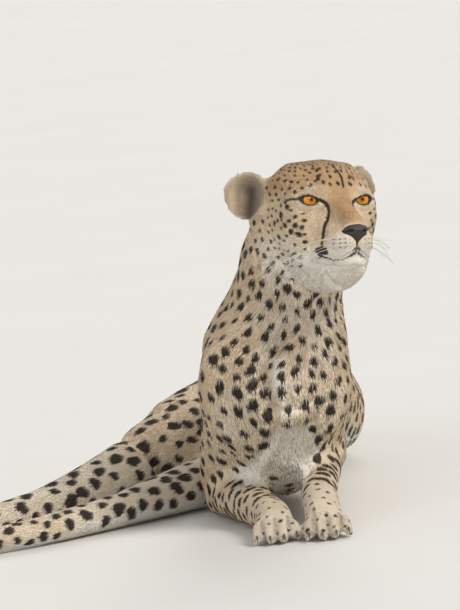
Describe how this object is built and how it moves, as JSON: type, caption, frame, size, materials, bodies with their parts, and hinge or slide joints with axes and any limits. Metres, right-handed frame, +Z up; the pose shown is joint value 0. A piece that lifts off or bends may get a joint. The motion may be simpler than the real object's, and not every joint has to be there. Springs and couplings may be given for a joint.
{
  "type": "cheetah",
  "caption": "Life-size still model of a cheetah lying down, chest up and head raised, both hind legs out to its right and the tail curled behind it on the ground.",
  "frame": {"origin": "middle of the bounding box in plan, on the ground the animal lies on", "axes": "+Z up; -Y the way the chest and the forelegs point; -X the animal's right, where the hind legs reach"},
  "size_m": [0.7936, 1.0066, 0.4875],
  "materials": {
    "coat": "short fur lying flat, warm buff above and cream below, with black-brown solid spots",
    "eye": "wet gloss, amber iris with a round black pupil",
    "nose": "bare pebbled skin, slightly moist",
    "claw": "satin horn"
  },
  "bodies": {
    "root": {"chest": "coat", "claw_fore_left_1": "claw", "claw_fore_left_2": "claw", "claw_fore_left_3": "claw", "claw_fore_left_4": "claw", "claw_fore_right_1": "claw", "claw_fore_right_2": "claw", "claw_fore_right_3": "claw", "claw_fore_right_4": "claw", "claw_hind_left_1": "claw", "claw_hind_left_2": "claw", "claw_hind_left_3": "claw", "claw_hind_left_4": "claw", "claw_hind_right_1": "claw", "claw_hind_right_2": "claw", "claw_hind_right_3": "claw", "claw_hind_right_4": "claw", "ear_left": "coat", "ear_right": "coat", "eye_left": "eye", "eye_right": "eye", "forearm_fore_left": "coat", "forearm_fore_right": "coat", "head": "coat", "loin": "coat", "metatarsus_hind_left": "coat", "metatarsus_hind_right": "coat", "neck": "coat", "nose": "nose", "paw_fore_left": "coat", "paw_fore_right": "coat", "paw_hind_left": "coat", "paw_hind_right": "coat", "rump": "coat", "shank_hind_left": "coat", "shank_hind_right": "coat", "tail_base": "coat", "tail_middle": "coat", "tail_tip": "coat", "thigh_hind_left": "coat", "thigh_hind_right": "coat", "upper_arm_fore_left": "coat", "upper_arm_fore_right": "coat"}
  },
  "joints": []
}
